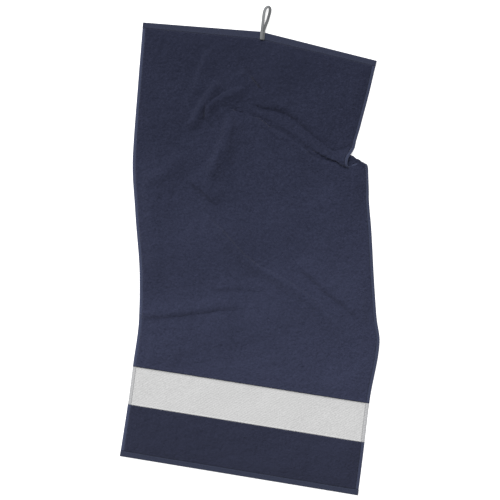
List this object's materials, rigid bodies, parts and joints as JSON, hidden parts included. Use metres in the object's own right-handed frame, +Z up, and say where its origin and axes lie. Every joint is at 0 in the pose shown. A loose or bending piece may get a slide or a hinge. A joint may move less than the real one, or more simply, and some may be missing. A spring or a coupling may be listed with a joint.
{
  "type": "golf towel",
  "caption": "Rectangular terry golf towel with a flat woven band near its lower end, stitched hems all round and a braided tape loop on the top hem.",
  "frame": {"origin": "middle of the towel's box on the surface it lies on", "axes": "+X across the towel, +Y along it towards the hanging loop, +Z up out of its front"},
  "size_m": [0.5384, 1.017, 0.0168],
  "materials": {
    "navy_terry": "matt looped cotton pile",
    "navy_hem": "flat woven selvedge and turned hem",
    "navy_thread": "spun sewing thread",
    "off_white_weave": "fine diagonal twill, faint sheen",
    "off_white_hem": "turned edge of the woven band",
    "off_white_thread": "spun sewing thread",
    "grey_tape": "flat braided tape with lengthwise ribs",
    "grey_thread": "bartack thread"
  },
  "bodies": {
    "main": {"main_panel": "navy_terry", "top_hem": "navy_hem", "left_hem_main": "navy_hem", "right_hem_main": "navy_hem", "top_hem_stitching_left": "navy_thread", "top_hem_stitching_right": "navy_thread", "left_stitching_main": "navy_thread", "right_stitching_main": "navy_thread", "loop_sewn_end_left": "grey_tape", "loop_sewn_end_right": "grey_tape", "loop_bartack": "grey_thread"},
    "band": {"woven_band": "off_white_weave", "left_hem_band": "off_white_hem", "right_hem_band": "off_white_hem", "left_stitching_band": "off_white_thread", "right_stitching_band": "off_white_thread", "band_stitching_upper": "off_white_thread", "band_stitching_lower": "off_white_thread"},
    "lower": {"lower_panel": "navy_terry", "bottom_hem": "navy_hem", "left_hem_lower": "navy_hem", "right_hem_lower": "navy_hem", "left_stitching_lower": "navy_thread", "right_stitching_lower": "navy_thread", "bottom_hem_stitching": "navy_thread"},
    "loop": {"hanging_loop": "grey_tape"}
  },
  "joints": [
    {"name": "band_fold", "type": "hinge", "parent": "main", "child": "band", "pos_m": [0.00292, -0.28026, 0.004], "axis": [-0.987, 0.1609, 0], "range_deg": [0, 88]},
    {"name": "lower_fold", "type": "hinge", "parent": "band", "child": "lower", "pos_m": [-0.00727, -0.35967, 0.004], "axis": [-0.987, 0.1607, 0], "range_deg": [0, 88]},
    {"name": "loop_flex", "type": "hinge", "parent": "main", "child": "loop", "pos_m": [0.02368, 0.45102, 0.0057], "axis": [0.9781, -0.2079, 0], "range_deg": [0, 160]}
  ]
}
